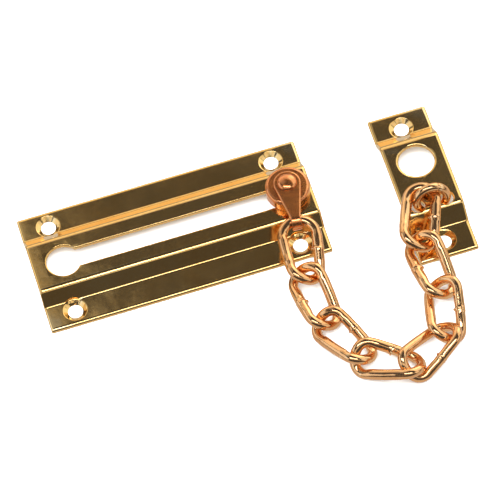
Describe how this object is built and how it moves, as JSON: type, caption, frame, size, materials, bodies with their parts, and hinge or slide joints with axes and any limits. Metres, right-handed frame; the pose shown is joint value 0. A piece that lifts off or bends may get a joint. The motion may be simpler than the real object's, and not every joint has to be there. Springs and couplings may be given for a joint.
{
  "type": "door chain guard",
  "caption": "Slotted track plate with a sliding stud and swivel tab, joined by a short twisted-link chain to a small raised keeper plate.",
  "frame": {"origin": "centre of the track plate's four screw holes, on its back face", "axes": "+X along the track from the keyhole to the slider's rest end and on to the keeper plate, +Y across the track away from the chain, +Z out of the plates' front faces"},
  "size_m": [0.1268, 0.0909, 0.0123],
  "materials": {
    "plate_brass": "polished bright plating",
    "slider_brass": "polished, coppery tone",
    "chain_brass": "polished, orange tone"
  },
  "bodies": {
    "track_plate": {"track_plate": "plate_brass"},
    "slider": {"slider_stud": "slider_brass", "slider_disc": "slider_brass"},
    "swivel_tab": {"swivel_tab": "slider_brass"},
    "chain_link_1": {"chain_link_1": "chain_brass"},
    "chain_link_2": {"chain_link_2": "chain_brass"},
    "chain_link_3": {"chain_link_3": "chain_brass"},
    "chain_link_4": {"chain_link_4": "chain_brass"},
    "chain_link_5": {"chain_link_5": "chain_brass"},
    "chain_link_6": {"chain_link_6": "chain_brass"},
    "chain_link_7": {"chain_link_7": "chain_brass"},
    "chain_link_8": {"chain_link_8": "chain_brass"},
    "keeper_ring": {"keeper_ring": "chain_brass"},
    "keeper_plate": {"keeper_plate": "plate_brass"}
  },
  "joints": [
    {"name": "track_slide", "type": "slide", "parent": "track_plate", "child": "slider", "axis": [1, 0, 0], "range_m": [-0.0693, 0]},
    {"name": "tab_swivel", "type": "hinge", "parent": "slider", "child": "swivel_tab", "pos_m": [0.0358, 0.0008, 0.0099], "axis": [0, 0, 1], "range_deg": [-25, 60]},
    {"name": "link_1_turn", "type": "hinge", "parent": "swivel_tab", "child": "chain_link_1", "pos_m": [0.03431, -0.01596, 0.0077], "axis": [0, 0, -1], "range_deg": [-15, 15]},
    {"name": "link_2_turn", "type": "hinge", "parent": "chain_link_1", "child": "chain_link_2", "pos_m": [0.03264, -0.02821, 0.0056], "axis": [0, 0, -1], "range_deg": [-15, 15]},
    {"name": "link_3_turn", "type": "hinge", "parent": "chain_link_2", "child": "chain_link_3", "pos_m": [0.03385, -0.04376, 0.00415], "axis": [0, 0, -1], "range_deg": [0, 15]},
    {"name": "link_4_turn", "type": "hinge", "parent": "chain_link_3", "child": "chain_link_4", "pos_m": [0.04047, -0.05787, 0.00375], "axis": [0, 0, 1], "range_deg": [-25, 0]},
    {"name": "link_5_turn", "type": "hinge", "parent": "chain_link_4", "child": "chain_link_5", "pos_m": [0.05281, -0.0652, 0.00375], "axis": [0, 0, 1], "range_deg": [-25, 0]},
    {"name": "link_6_turn", "type": "hinge", "parent": "chain_link_5", "child": "chain_link_6", "pos_m": [0.06502, -0.05833, 0.00375], "axis": [0, 0, 1], "range_deg": [-25, 0]},
    {"name": "link_7_turn", "type": "hinge", "parent": "chain_link_6", "child": "chain_link_7", "pos_m": [0.06847, -0.04423, 0.00432], "axis": [0, 0, -1], "range_deg": [-10, 15]},
    {"name": "link_8_turn", "type": "hinge", "parent": "chain_link_7", "child": "chain_link_8", "pos_m": [0.06763, -0.02896, 0.00605], "axis": [0, 0, -1], "range_deg": [-15, 0]},
    {"name": "ring_turn", "type": "hinge", "parent": "chain_link_8", "child": "keeper_ring", "pos_m": [0.07592, -0.01635, 0.0076], "axis": [0, 0, -1], "range_deg": [-8, 0]},
    {"name": "keeper_tilt", "type": "hinge", "parent": "keeper_ring", "child": "keeper_plate", "pos_m": [0.0748, -0.01675, 0.0052], "axis": [1, 0, 0], "range_deg": [-4, 0]}
  ],
  "couplings": [
    {"joint": "link_4_turn", "follows": "track_slide", "rad_per_m": 6.28},
    {"joint": "link_5_turn", "follows": "track_slide", "rad_per_m": 6.28},
    {"joint": "link_6_turn", "follows": "track_slide", "rad_per_m": 6.28}
  ]
}
